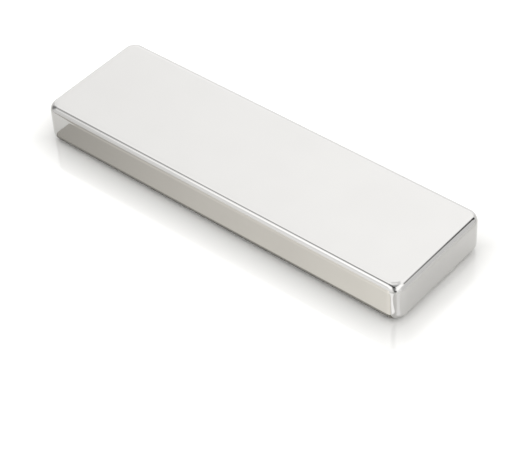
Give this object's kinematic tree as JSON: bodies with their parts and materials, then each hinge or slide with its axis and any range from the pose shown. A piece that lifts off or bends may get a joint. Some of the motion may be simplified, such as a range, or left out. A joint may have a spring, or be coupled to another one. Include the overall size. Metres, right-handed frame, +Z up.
{
  "type": "block magnet",
  "caption": "Flat rectangular block magnet in bright nickel plating, with tumbled, rounded edges and corners.",
  "frame": {"origin": "middle of the lower pole face, on the surface that the magnet lies on", "axes": "+X along the length, +Y across the width, +Z up through the thickness, from one pole face to the other"},
  "size_m": [0.05, 0.015, 0.005],
  "materials": {
    "nickel_plating": "bright nickel plating over a tumbled block, smooth with a slight blur in its reflections"
  },
  "bodies": {
    "root": {"block_magnet": "nickel_plating"}
  },
  "joints": []
}
